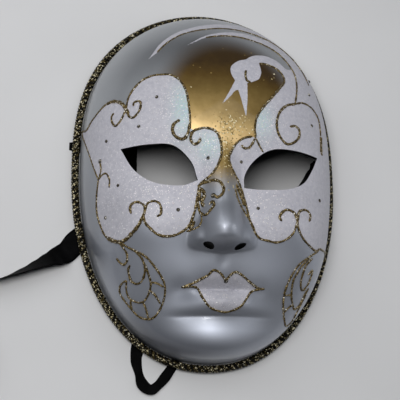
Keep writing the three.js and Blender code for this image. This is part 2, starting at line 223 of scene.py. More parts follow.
def place_camera():
    """Set the camera at the photograph's viewing angle."""
    turn = Matrix.Rotation(-CAMERA_YAW, 4, "Y")
    turn @= Matrix.Rotation(CAMERA_PITCH, 4, "X")
    turn @= Matrix.Rotation(CAMERA_ROLL, 4, "Z")
    place = turn @ Vector((CAMERA_SIDEWAYS, CAMERA_UPWARDS, CAMERA_DISTANCE))
    data = bpy.data.cameras.new("camera")
    data.sensor_width = SENSOR_WIDTH
    data.lens = SENSOR_WIDTH * FOCAL_LENGTH_IN_PIXELS / PICTURE_PIXELS
    data.shift_x = PICTURE_SHIFT
    data.clip_start = NEAREST_SEEN * MM
    camera = bpy.data.objects.new("camera", data)
    camera.matrix_world = Matrix.Translation(place * MM) @ turn
    bpy.context.collection.objects.link(camera)
    bpy.context.scene.camera = camera


def smooth(value):
    """Ease from 0 to 1."""
    t = np.clip(value, 0, 1)
    return t * t * (3 - 2 * t)


def span_between(before, start, end, after):
    """A smooth span from start to end, as a function that gives the place and the heading."""
    leave, arrive = (end - before) / 2, (after - start) / 2
    square = 3 * (end - start) - 2 * leave - arrive
    cubic = leave + arrive - 2 * (end - start)

    def at(t):
        place = start + leave * t + square * t ** 2 + cubic * t ** 3
        heading = leave + 2 * square * t + 3 * cubic * t ** 2
        return place, heading

    return at


def curve_through(points, step=CURVE_STEP):
    """An even run of points on a smooth curve through a few given ones."""
    knots = np.asarray(points, float)
    before = 2 * knots[0] - knots[1]
    after = 2 * knots[-1] - knots[-2]
    knots = np.vstack([before, knots, after])
    run = []
    for i in range(1, len(knots) - 2):
        span = span_between(*knots[i - 1:i + 3])
        count = max(int(np.linalg.norm(knots[i + 1] - knots[i]) / step), 2)
        run.extend(span(t)[0] for t in np.arange(count) / count)
    run.append(knots[-2])
    return np.array(run)


def new_piece(name, points, faces, *materials):
    """A smooth mesh object from points in millimetres, at the origin."""
    mesh = bpy.data.meshes.new(name)
    mesh.from_pydata((np.asarray(points) * MM).tolist(), [], faces)
    mesh.polygons.foreach_set("use_smooth", [True] * len(mesh.polygons))
    for material in materials:
        mesh.materials.append(material)
    mesh.update()
    piece = bpy.data.objects.new(name, mesh)
    bpy.context.collection.objects.link(piece)
    return piece


def tube_faces(stations, sides, closed=False):
    """Faces between rings of points, each ring with the same number of sides."""
    last = stations if closed else stations - 1
    faces = []
    for station in range(last):
        here = station * sides
        there = (station + 1) % stations * sides
        for side in range(sides):
            turn = (side + 1) % sides
            faces.append((here + side, here + turn, there + turn, there + side))
    if not closed:
        end = (stations - 1) * sides
        faces.append(tuple(reversed(range(sides))))
        faces.append(tuple(range(end, end + sides)))
    return faces


def join_parts(parts):
    """One list of points and one of faces from several meshes."""
    points, faces = [], []
    for part_points, part_faces in parts:
        first = len(points)
        points.extend(part_points)
        faces.extend(tuple(first + corner for corner in face) for face in part_faces)
    return points, faces


def two_tone_piece(name, first_parts, second_parts, first, second):
    """One mesh of many parts, the first ones in one material and the others in another."""
    first_count = sum(len(faces) for _, faces in first_parts)
    points, faces = join_parts(first_parts + second_parts)
    piece = new_piece(name, points, faces, first, second)
    for face in piece.data.polygons[first_count:]:
        face.material_index = 1
    return piece


# Colours, as stops of a ramp: place and colour. The near-white top stops of the glitter, loose glitter and
# thread ramps are painted glints on the brightest flakes
GOLD_SHADES = [
    (0.0, (0.88, 0.63, 0.29)), (0.15, (0.6, 0.42, 0.17)), (0.3, (0.4, 0.275, 0.095)),
    (0.5, (0.25, 0.165, 0.047)), (0.75, (0.16, 0.095, 0.023)), (1.0, (0.085, 0.05, 0.018)),
]
SPRINKLE_SHADES = [(0.3, (0.3, 0.2, 0.05)), (0.5, (0.55, 0.4, 0.13)), (0.8, (1.0, 0.93, 0.66))]
GLITTER_SHADES = [
    (0.0, (0.04, 0.027, 0.008)), (0.45, (0.095, 0.065, 0.019)), (0.8, (0.2, 0.14, 0.048)),
    (0.92, (0.45, 0.35, 0.16)), (1.0, (1.0, 0.97, 0.85)),
]
DARK_GLITTER_SHADES = [
    (0.0, (0.03, 0.027, 0.02)), (0.6, (0.07, 0.062, 0.045)), (0.92, (0.18, 0.16, 0.12)),
    (1.0, (0.85, 0.82, 0.72)),
]
GOLD_THREAD = [
    (0.0, (0.003, 0.002, 0.001)), (0.45, (0.018, 0.013, 0.004)), (0.78, (0.12, 0.09, 0.028)),
    (0.89, (0.85, 0.75, 0.45)), (1.0, (1.0, 0.97, 0.8)),
]
BLACK_THREAD = [
    (0.0, (0.002, 0.002, 0.002)), (0.88, (0.01, 0.009, 0.006)), (0.96, (0.8, 0.72, 0.46)),
]

# Pairs of colours that a clouded paint or cloth runs between
SILVER_HIGH_UP = ((0.385, 0.405, 0.432), (0.425, 0.445, 0.472))
SILVER_LOW_DOWN = ((0.375, 0.401, 0.465), (0.415, 0.441, 0.505))
WHITE_SHADES = ((0.48, 0.48, 0.54), (0.58, 0.575, 0.63))
INSIDE_SHADES = ((0.005, 0.005, 0.0055), (0.013, 0.013, 0.014))
SATIN_SHADES = ((0.001, 0.001, 0.0012), (0.004, 0.004, 0.0045))
TABLE_SHADES = ((0.72, 0.725, 0.735), (0.76, 0.765, 0.775))
SILVER_GRAIN = (0.52, 0.54, 0.57)
SHIMMER_TINT = (0.5, 0.88, 0.85)
PURE_WHITE = (1.0, 1.0, 1.0)

# The silver turns bluer low down between these heights, a painted reflection of bluish daylight, and the
# white paint has a soft edge
SILVER_LOW_Y = -50
SILVER_HIGH_Y = 30
SILVER_METALLIC = 0.6
WHITE_SOFT_EDGE = 0.12

# Scales of mottling, in patches to the metre
SILVER_CLOUDS = 24
GOLD_CLOUDS = 190
WHITE_CLOUDS = 420
PAINT_GRAIN = 2600
INSIDE_GRAIN = 900
SATIN_CLOUDS = 160
TABLE_CLOUDS = 7

# Glitter: the size and tilt of its flakes, and in glue and tinsel where the bright ones, with painted glints,
# start and the shader's values
WHITE_FLAKE = 0.52
WHITE_FLAKE_TILT = 1.1
LOOSE_FLAKE = 0.8
GLUE = {
    "flake": 0.6, "tilt": 1.1, "bright": (0.8, 0.92),
    "metallic": 0.5, "roughness": 0.3, "specular": 0.5,
}
TINSEL = {
    "flake": 0.65, "tilt": 1.2, "bright": (0.78, 0.89),
    "metallic": 0.4, "roughness": 0.45, "specular": 0.15,
}


def fill_inputs(tree, target, inputs):
    """Give each input of a shader node a value or another node's output."""
    for name, value in inputs.items():
        if isinstance(value, bpy.types.NodeSocket):
            tree.links.new(value, target.inputs[name])
        else:
            target.inputs[name].default_value = value


def node(tree, kind, inputs=None, **settings):
    """Add a shader node."""
    new = tree.nodes.new("ShaderNode" + kind)
    for name, value in settings.items():
        setattr(new, name, value)
    fill_inputs(tree, new, inputs or {})
    return new


def ramp(tree, factor, stops):
    """A colour ramp through (place, colour) stops."""
    new = node(tree, "ValToRGB", {"Fac": factor})
    elements = new.color_ramp.elements
    while len(elements) < len(stops):
        elements.new(0.5)
    for element, (place, colour) in zip(elements, stops):
        element.position = place
        element.color = (*colour, 1)
    return new.outputs["Color"]


def mix(tree, factor, first, second, blend="MIX"):
    """Mix two colours, each a node's output or three numbers."""
    sides = [side if isinstance(side, bpy.types.NodeSocket) else (*side, 1) for side in (first, second)]
    inputs = {0: factor, 6: sides[0], 7: sides[1]}
    return node(tree, "Mix", inputs, data_type="RGBA", blend_type=blend).outputs[2]


def calculate(tree, operation, first, second):
    return node(tree, "Math", {0: first, 1: second}, operation=operation).outputs[0]


def between(tree, value, low, high, from_value=0.0, to_value=1.0):
    """Map a value in a range to another, held at both ends."""
    inputs = {"Value": value, "From Min": low, "From Max": high, "To Min": from_value, "To Max": to_value}
    return node(tree, "MapRange", inputs).outputs["Result"]


def object_place(tree):
    return node(tree, "TexCoord").outputs["Object"]


def surface_normal(tree):
    return node(tree, "NewGeometry").outputs["Normal"]


def mottle(tree, scale, detail):
    """A soft random value."""
    inputs = {"Vector": object_place(tree), "Scale": scale, "Detail": detail}
    return node(tree, "TexNoise", inputs).outputs["Fac"]


def clouded(tree, cloud, shades):
    """A colour that drifts between two shades."""
    return ramp(tree, cloud, [(0.3, shades[0]), (0.7, shades[1])])


def bump(tree, height, strength, distance, **inputs):
    """A normal from a height; the distance is in millimetres."""
    inputs.update({"Height": height, "Strength": strength, "Distance": distance * MM})
    return node(tree, "Bump", inputs).outputs["Normal"]


def attribute(tree, name):
    """One of the amounts that are painted on the shell's points."""
    return node(tree, "Attribute", attribute_name=name).outputs["Fac"]


def flakes(tree, size):
    """Glitter flakes: a random value and a random colour for each."""
    cells = node(tree, "TexVoronoi", {"Vector": object_place(tree), "Scale": 1 / (size * MM)})
    colour = cells.outputs["Color"]
    return node(tree, "SeparateColor", {0: colour}).outputs[0], colour


def flake_normal(tree, colour, tilt):
    """The surface's normal, tilted at random for each flake."""
    def vector(operation, inputs):
        return node(tree, "VectorMath", inputs, operation=operation).outputs[0]

    centred = vector("SUBTRACT", {0: colour, 1: (0.5, 0.5, 0.5)})
    leaned = vector("SCALE", {0: centred, "Scale": tilt})
    return vector("NORMALIZE", {0: vector("ADD", {0: surface_normal(tree), 1: leaned})})


def silver_paint(tree, grain):
    """Pearl silver, a little bluer low down as a painted reflection of bluish daylight, with painted light
    and shade.
    """
    cloud = mottle(tree, SILVER_CLOUDS, 3)
    height = node(tree, "SeparateXYZ", {0: object_place(tree)}).outputs["Y"]
    # Bluer low down: a painted reflection of bluish daylight
    share = between(tree, height, SILVER_LOW_Y * MM, SILVER_HIGH_Y * MM)
    colour = mix(tree, share, clouded(tree, cloud, SILVER_LOW_DOWN), clouded(tree, cloud, SILVER_HIGH_UP))
    colour = mix(tree, between(tree, grain, 0.3, 0.7, 0, 0.12), colour, SILVER_GRAIN)
    # Painted light and shade: the silver is made lighter or darker by place
    return mix(tree, 1.0, colour, attribute(tree, "silver_painted_light_and_shade"), "MULTIPLY")


def gold_paint(tree):
    """Airbrushed gold from a bright painted highlight to brown, the browning partly a painted dark
    reflection.
    """
    cloud = between(tree, mottle(tree, GOLD_CLOUDS, 5), 0.3, 0.7, -0.05, 0.05)
    return ramp(tree, calculate(tree, "ADD", attribute(tree, "gold_depth"), cloud), GOLD_SHADES)


def white_paint(tree, value, flake_colour):
    """White paint with iridescent glitter in it; its brightest flakes are near-white painted glints."""
    colour = clouded(tree, mottle(tree, WHITE_CLOUDS, 3), WHITE_SHADES)
    shimmer = mix(tree, 0.7, flake_colour, SHIMMER_TINT)
    colour = mix(tree, attribute(tree, "shimmer"), colour, shimmer)
    # Painted glints: the brightest white flakes are mixed towards near-white
    glint_share = between(tree, value, 0.91, 0.96, 0, 0.85)
    glint_share = calculate(tree, "MULTIPLY", glint_share, attribute(tree, "painted_glints"))
    colour = mix(tree, glint_share, colour, mix(tree, 0.9, flake_colour, PURE_WHITE))
    # Painted shade: the white is darkened on the lips and cheeks
    return mix(tree, 1.0, colour, attribute(tree, "white_painted_shade"), "MULTIPLY")


def painted_normal(tree, grain, glitter_share, flake_colour):
    """Fine grain everywhere, and tilted flakes where there is glitter."""
    tilted = flake_normal(tree, flake_colour, WHITE_FLAKE_TILT)
    inputs = {0: glitter_share, 4: surface_normal(tree), 5: tilted}
    blended = node(tree, "Mix", inputs, data_type="VECTOR")
    return bump(tree, grain, 0.08, 0.1, Normal=blended.outputs[1])


def shell_paint(tree):
    """Silver paint, airbrushed gold, white glitter fields and loose gold glitter."""
    grain = mottle(tree, PAINT_GRAIN, 1)
    value, flake_colour = flakes(tree, WHITE_FLAKE)
    loose, loose_colour = flakes(tree, LOOSE_FLAKE)
    white_share = between(tree, attribute(tree, "white"), -WHITE_SOFT_EDGE, WHITE_SOFT_EDGE)
    loose_share = calculate(tree, "LESS_THAN", loose, attribute(tree, "sprinkle"))
    colour = mix(tree, attribute(tree, "gold"), silver_paint(tree, grain), gold_paint(tree))
    colour = mix(tree, white_share, colour, white_paint(tree, value, flake_colour))
    # Loose gold glitter, its brightest flakes near-white painted glints
    colour = mix(tree, loose_share, colour, ramp(tree, loose_colour, SPRINKLE_SHADES))

    matt_share = calculate(tree, "MAXIMUM", white_share, loose_share)
    white_glitter = between(tree, value, 0.88, 0.97, 0.06, 0.8)
    white_glitter = calculate(tree, "MULTIPLY", white_share, white_glitter)
    glitter_share = calculate(tree, "MAXIMUM", white_glitter, loose_share)
    gloss = attribute(tree, "gloss")
    lacquered = calculate(tree, "SUBTRACT", 1.0, white_share)
    return {
        "Base Color": colour,
        "Metallic": between(tree, matt_share, 0, 1, SILVER_METALLIC, 0),
        "Roughness": between(tree, gloss, 0, 1, 0.72, 0.5),
        "Normal": painted_normal(tree, grain, glitter_share, flake_colour),
        "Coat Weight": calculate(tree, "MULTIPLY", lacquered, between(tree, gloss, 0, 1, 0.0, 0.45)),
        "Coat Roughness": 0.1,
    }


def inside_paint(tree):
    """Flat black paint on the inside and on the cut edges."""
    grain = mottle(tree, INSIDE_GRAIN, 4)
    return {
        "Base Color": clouded(tree, grain, INSIDE_SHADES),
        "Roughness": 0.8,
        "Specular IOR Level": 0.2,
        "Normal": bump(tree, grain, 0.4, 0.3),
    }


def glitter(tree, stops, kind):
    """Glitter glue or tinsel thread; its brightest flakes turn from metal to near-white painted glints."""
    value, colour = flakes(tree, kind["flake"])
    return {
        "Base Color": ramp(tree, value, stops),
        "Metallic": between(tree, value, *kind["bright"], kind["metallic"], 0.0),
        "Roughness": kind["roughness"],
        "Specular IOR Level": kind["specular"],
        "Normal": flake_normal(tree, colour, kind["tilt"]),
    }


def satin(tree):
    """Black ribbon with fine ribs across it."""
    along = node(tree, "UVMap", uv_map="weave").outputs["UV"]
    ribs = node(tree, "TexWave", {"Vector": along, "Scale": 1.0, "Distortion": 0.4})
    return {
        "Base Color": clouded(tree, mottle(tree, SATIN_CLOUDS, 4), SATIN_SHADES),
        "Roughness": 0.6,
        "Specular IOR Level": 0.03,
        "Normal": bump(tree, ribs.outputs["Fac"], 0.25, 0.12),
    }


def table_surface(tree):
    """A plain pale surface."""
    return {"Base Color": clouded(tree, mottle(tree, TABLE_CLOUDS, 3), TABLE_SHADES), "Roughness": 0.75}


def new_material(name, recipe, *details):
    """A material whose shader is filled in by one of the recipes above."""
    material = bpy.data.materials.new(name)
    material.use_nodes = True
    tree = material.node_tree
    fill_inputs(tree, tree.nodes["Principled BSDF"], recipe(tree, *details))
    return material


# The ribbon ties
def ribbon_section(width):
    """Across and upward places of a ribbon's two faces; a narrowed ribbon is folded over lengthwise."""
    half, thick = width / 2, RIBBON_THICKNESS
    flap = min(RIBBON_WIDTH - width, width - 1)
    crease = half - max(flap, 0)
    layers = min(RIBBON_WIDTH / width, 2)
    upper, lower = [], []
    for share in np.linspace(-1, 1, RIBBON_FACE_POINTS):
        across = share * half
        top = thick * (layers if across > crease else 1)
        upper.append((across, top / 2))
        lower.append((across, -thick / 2))
    return np.array(upper + lower[::-1])


def route_stations(route):
    """Middle, sideways direction, roll and width at even shares of a given route."""
    places = np.array([knot[:2] for knot in route], float)
    places = np.vstack([places[0], places, places[-1]])
    last_span = len(route) - 2
    stations = []
    for number, (here, there) in enumerate(zip(route, route[1:])):
        span = span_between(*places[number:number + 4])
        for t in np.arange(ROUTE_SPAN_STEPS + (number == last_span)) / ROUTE_SPAN_STEPS:
            middle, heading = span(t)
            side = np.array([-heading[1], heading[0]]) / np.linalg.norm(heading)
            ease = float(smooth(t))
            roll = here[2] + (there[2] - here[2]) * ease
            width = here[3] + (there[3] - here[3]) * ease
            stations.append((middle, side, math.radians(roll), width))
    return stations


def coil_stations(start, coil):
    """The rolled-up spare length, standing on its edge."""
    middle = np.array(coil["middle"], float)
    from_middle = start - middle
    first_radius = np.linalg.norm(from_middle)
    first_angle = math.atan2(from_middle[1], from_middle[0])
    count = int(COIL_POINTS_A_TURN * coil["turns"])
    stations = []
    for step in range(1, count + 1):
        turned = step / COIL_POINTS_A_TURN
        angle = first_angle + coil["hand"] * 2 * math.pi * turned
        outward = np.array([math.cos(angle), math.sin(angle)])
        radius = first_radius - COIL_PITCH * turned
        side = -outward * coil["hand"]
        stations.append((middle + outward * radius, side, math.pi / 2, RIBBON_WIDTH))
    return stations


def ribbon_strip(stations):
    """Points of the strip, the path of its middle and the distance travelled along it."""
    points, path, along = [], [], []
    for middle, side, roll, width in stations:
        section = ribbon_section(width)
        across = section[:, 0] * math.cos(roll) - section[:, 1] * math.sin(roll)
        up = section[:, 0] * math.sin(roll) + section[:, 1] * math.cos(roll)
        for out, height in zip(across, up - up.min()):
            points.append((*(middle + side * out), height))
        path.append((*middle, (width * abs(math.sin(roll)) + RIBBON_THICKNESS) / 2))
        along.append(along[-1] + math.dist(path[-1], path[-2]) if along else 0.0)
    return points, path, along


def ribbon_tie(name, route, coil, material):
    """A satin strip along a route on the table and then round its coil."""
    stations = route_stations(route)
    stations += coil_stations(stations[-1][0], coil)
    points, path, along = ribbon_strip(stations)
    sides = 2 * RIBBON_FACE_POINTS
    piece = new_piece(name, points, tube_faces(len(stations), sides), material)
    weave = piece.data.uv_layers.new(name="weave")
    for loop in piece.data.loops:
        station, side = divmod(loop.vertex_index, sides)
        weave.data[loop.index].uv = (along[station] * RIBS_A_MM, side)
    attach(piece, "root")
    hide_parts(name, name + "_coil")


# The moulded surface
def rim_radius(angle):
    """Distance from the middle of the rim's widest line to the rim, in each direction."""
    angle = np.asarray(angle, float)
    above = np.sin(angle) >= 0
    across_power = np.where(above, BROW_POWERS[0], JAW_POWERS[0])
    along_power = np.where(above, BROW_POWERS[1], JAW_POWERS[1])
    along = np.where(above, RIM_HALF_HEIGHT - WIDEST_Y, RIM_HALF_HEIGHT + WIDEST_Y)
    across = np.abs(np.cos(angle)) / RIM_HALF_WIDTH
    upright = np.abs(np.sin(angle)) / along
    near = np.zeros_like(angle)
    far = np.full_like(angle, 2 * RIM_HALF_HEIGHT)
    for _ in range(HALVINGS):
        middle = (near + far) / 2
        inside = (middle * across) ** across_power + (middle * upright) ** along_power < 1
        near = np.where(inside, middle, near)
        far = np.where(inside, far, middle)
    return near


def dome_height(share, angle, height):
    """Height of the plain dome, flatter at the forehead and fuller at the chin."""
    up = np.maximum(np.sin(angle), 0) ** 2
    down = np.maximum(-np.sin(angle), 0) ** 4
    power = DOME_POWER + DOME_POWER_FOREHEAD * up + DOME_POWER_CHIN * down
    x = rim_radius(angle) * share * np.cos(angle)
    y = WIDEST_Y + rim_radius(angle) * share * np.sin(angle)
    chin_rise = CHIN_RISE * smooth((CHIN_TOP_Y - y) / CHIN_EDGE) * np.exp(-((x / CHIN_ACROSS) ** 2))
    top = height - CHIN_DROP * smooth((CHIN_DROP_FROM_Y - y) / CHIN_DROP_LENGTH) + chin_rise
    return top * np.maximum(1 - share ** power, 0) ** (1 / power)


def swelling(x, y, feature):
    """A rounded rise or hollow, turned in its place."""
    middle_x, middle_y, across, along, rise, turn = feature
    u = (x - middle_x) * math.cos(turn) + (y - middle_y) * math.sin(turn)
    v = (y - middle_y) * math.cos(turn) - (x - middle_x) * math.sin(turn)
    return rise * np.exp(-((u / across) ** 2) - (v / along) ** 2)


def blend_up(first, second, reach):
    """The higher of two surfaces, with a round fillet where they meet."""
    near = np.maximum(reach - np.abs(first - second), 0) / reach
    return np.maximum(first, second) + near ** 2 * reach / 4


def mound(x, y, shape, narrowing):
    """A rounded top that falls away at its own rate in each direction."""
    middle_x, middle_y, top, across, above, below = shape
    along = np.where(y > middle_y, above, below)
    return top - narrowing * (across * (x - middle_x) ** 2 + along * (y - middle_y) ** 2)


def nose_underside(x, y):
    """The steep plane under the nose, bent back a little towards the wings."""
    top, from_y, slope, bend = UNDERSIDE
    return top + slope * (y - from_y - bend * np.abs(x))


def nose_height(x, y, inset):
    """Ridge, ball and wings of the nose, cut off by the underside and set in by the wall."""
    narrowing = INSIDE_NARROWING if inset else 1
    x = x - NOSE_MIDDLE_X
    up_the_ridge = np.maximum(y - RIDGE_FOOT_Y, 0)
    below_the_ridge = np.maximum(RIDGE_FOOT_Y - y, 0)
    above_the_root = np.maximum(y - RIDGE_ROOT_Y, 0)
    ridge = RIDGE_TOP - RIDGE_SLOPE * up_the_ridge - RIDGE_ROOT_FALL * above_the_root ** 2
    ridge = ridge - narrowing * (RIDGE_BELOW * below_the_ridge ** 2 + RIDGE_ACROSS * x ** 2)
    height = blend_up(ridge, mound(x, y, NOSE_BALL, narrowing), BALL_BLEND)
    height = blend_up(height, mound(np.abs(x), y, NOSE_WING, narrowing), WING_BLEND)
    set_back = UNDERSIDE_SET_BACK if inset else 0
    height = -blend_up(-height, -nose_underside(x, y - set_back), UNDERSIDE_BLEND)
    return height - inset


def fold(x, y, shape):
    """Depth of a sharp fold that runs across the face."""
    fold_y, depth, above, below, across, softness = shape
    away = np.sqrt((y - fold_y) ** 2 + softness ** 2) - softness
    length = np.where(y > fold_y, above, below)
    return depth * np.exp(-away / length) * np.exp(-((x / across) ** 4))


def relief(x, y):
    """Height of the face's features, but for the nose, over the plain dome."""
    height = -fold(x, y, MOUTH_LINE) - fold(x, y, CHIN_FOLD)
    for feature in FEATURES.values():
        height = height + swelling(x, y, feature)
        if feature[0]:
            height = height + swelling(-x, y, feature)
    return height


def arch_height(x, y):
    """Height of the rim's underside, with a low arch where a ribbon passes."""
    height = np.zeros_like(x)
    for arch_x, arch_y, half_length in ARCHES:
        away = np.hypot(x - arch_x, y - arch_y) / half_length
        height = np.maximum(height, ARCH_HEIGHT * smooth(2 * (1 - away)))
    return height


def shell_points(angle, share, inset=0):
    """Points of the outer face of the shell, or of the inner one, inset by the wall."""
    reach = rim_radius(angle) - inset
    x = reach * share * np.cos(angle)
    y = WIDEST_Y + reach * share * np.sin(angle)
    keep = 1 - smooth((share - RELIEF_FADES_FROM) / (1 - RELIEF_FADES_FROM))
    depth = INNER_RELIEF if inset else 1
    face = dome_height(share, angle, DOME_HEIGHT - inset) + depth * keep * relief(x, y)
    z = blend_up(face, nose_height(x, y, inset), FACE_BLEND)
    if inset:
        # Dark blocks behind the nostrils, as painted shade
        z = z - swelling(x, y, NOSTRIL_SHADE_BLOCK) - swelling(-x, y, NOSTRIL_SHADE_BLOCK)
    return np.stack([x, y, np.where(share >= 1, arch_height(x, y), z)], axis=-1)


def on_face(flat):
    """Points of the outer face, from distances measured along it from its middle."""
    flat = np.asarray(flat, float)
    angle = np.arctan2(flat[:, 1], flat[:, 0])
    turned = np.hypot(flat[:, 0], flat[:, 1]) / rim_radius(angle)
    return shell_points(angle, np.sin(np.minimum(turned, math.pi / 2 - CLOSEST_TO_RIM)))


def face_normals(flat, step=0.3):
    """Normals of the outer face at the same kind of places."""
    flat = np.asarray(flat, float)
    across = on_face(flat + (step, 0)) - on_face(flat - (step, 0))
    along = on_face(flat + (0, step)) - on_face(flat - (0, step))
    normal = np.cross(across, along)
    return normal / np.linalg.norm(normal, axis=1)[:, None]


